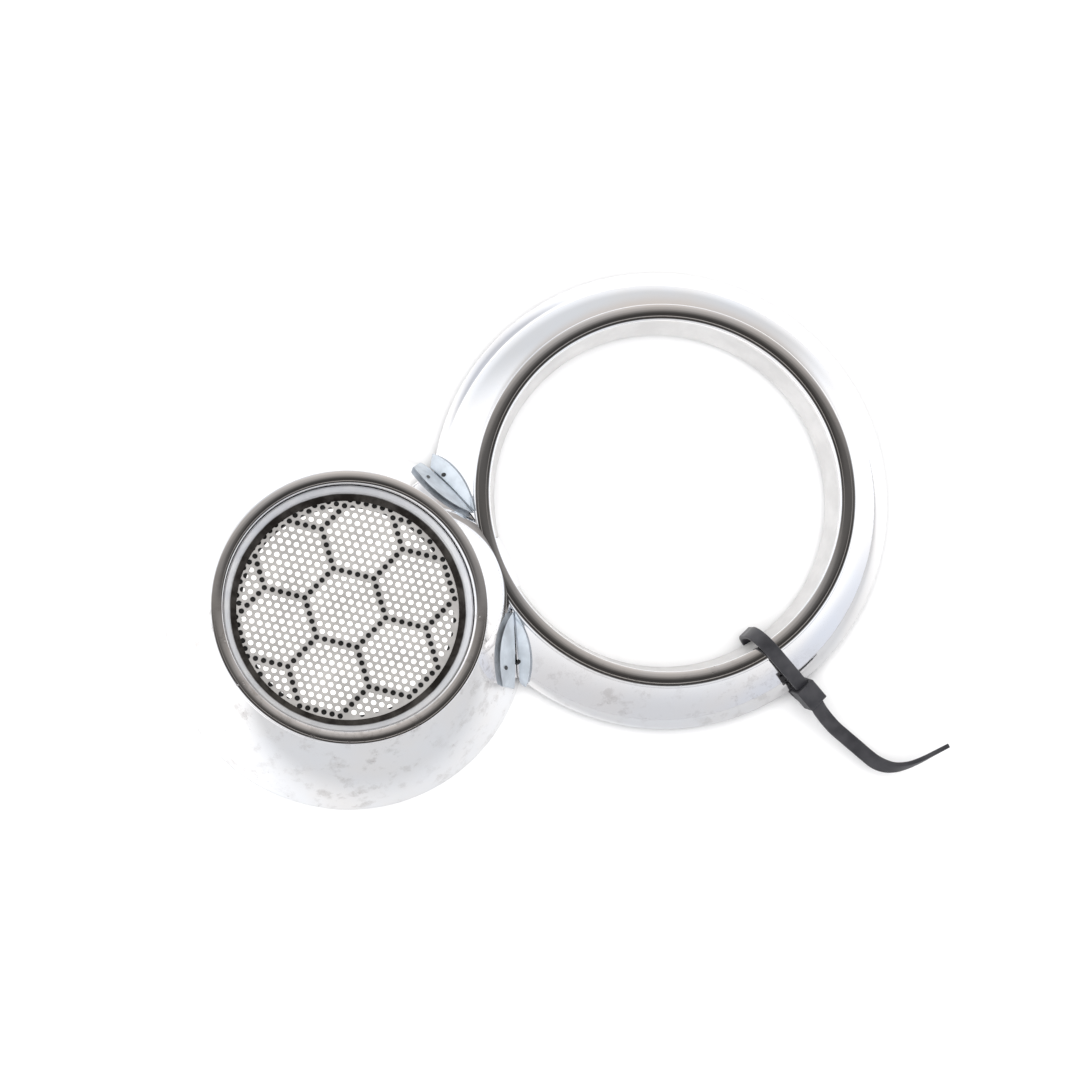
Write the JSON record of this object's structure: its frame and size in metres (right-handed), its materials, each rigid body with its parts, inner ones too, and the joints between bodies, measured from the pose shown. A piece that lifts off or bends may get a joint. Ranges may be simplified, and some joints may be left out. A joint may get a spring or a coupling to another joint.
{
  "type": "tweeter pod with trim ring",
  "caption": "Leaning round chrome-look tweeter pod behind a perforated grille, joined side by side to a larger open trim ring, with a nylon cable tie looped round the ring.",
  "frame": {"origin": "on the trim ring's axis, in the resting plane through the ends of the ring's screw bosses and the foot of the pod", "axes": "+Z along the ring's axis out of the face, +X from the pod's centre to the ring's axis"},
  "size_m": [0.1872, 0.142, 0.0248],
  "materials": {
    "chrome_plate": "bright chrome plate on moulded plastic, lightly pitted and smeared",
    "ring_plate": "bright chrome plate on moulded plastic, lightly pitted and smeared",
    "bezel_chrome": "bright plate, dark in the recess",
    "grille_metal": "satin, warm grey",
    "rib_plastic": "black moulded plastic",
    "scrim_cloth": "pale woven cloth",
    "black_foam": "closed cell foam",
    "driver_plastic": "fine moulded grain",
    "screw_steel": "zinc plated",
    "dome_cloth": "coated cloth",
    "surround_rubber": "soft satin",
    "former_film": "amber film",
    "copper_wire": "enamelled copper",
    "cup_steel": "plated steel",
    "magnet": "nickel plated magnet",
    "brass": "tinned brass",
    "board": "lacquered board",
    "capacitor": "moulded case",
    "connector_nylon": "natural nylon",
    "cover_plastic": "fine moulded grain",
    "sleeve_plastic": "pale grey, warm",
    "spring_steel": "phosphated spring steel",
    "flange_satin": "satin plate, blue grey",
    "pin_dark": "dull",
    "tie_nylon": "matt black nylon"
  },
  "bodies": {
    "trim": {"pod_housing": "chrome_plate", "grille_bezel": "bezel_chrome", "grille_mesh": "grille_metal", "grille_ribs": "rib_plastic", "acoustic_scrim": "scrim_cloth", "driver_gasket": "black_foam", "driver_faceplate": "driver_plastic", "driver_screws": "screw_steel", "dome_surround": "surround_rubber", "magnet_cup": "cup_steel", "magnet_disc": "magnet", "pole_plate": "cup_steel", "terminal_tabs": "brass", "crossover_board": "board", "crossover_capacitor": "capacitor", "connector_shroud": "connector_nylon", "connector_pins": "brass", "cover_seal": "black_foam", "rear_cover": "cover_plastic", "cover_screws": "screw_steel", "trim_ring": "ring_plate", "ring_sleeve": "sleeve_plastic", "push_nuts": "spring_steel", "pod_flanges": "flange_satin", "ring_flanges": "flange_satin", "flange_pins": "pin_dark"},
    "dome": {"dome_diaphragm": "dome_cloth", "coil_former": "former_film", "coil_winding": "copper_wire"},
    "tie": {"tie_strap": "tie_nylon", "tie_head": "tie_nylon"},
    "pawl": {"tie_pawl": "tie_nylon"}
  },
  "joints": [
    {"name": "dome_travel", "type": "slide", "parent": "trim", "child": "dome", "axis": [-0.024, 0.0838, 0.9962], "range_m": [-0.0004, 0.0004], "stiffness_N_per_m": 5000, "deforming": ["dome_surround"]},
    {"name": "tie_round_ring", "type": "hinge", "parent": "trim", "child": "tie", "pos_m": [0, 0, 0], "axis": [0, 0, 1], "range_deg": [-30, 62]},
    {"name": "pawl_flex", "type": "hinge", "parent": "tie", "child": "pawl", "pos_m": [0.01596, -0.0596, 0.0069], "axis": [0.9219, 0.3875, 0], "range_deg": [-6.5, 0], "stiffness_Nm_per_rad": 0.02}
  ]
}
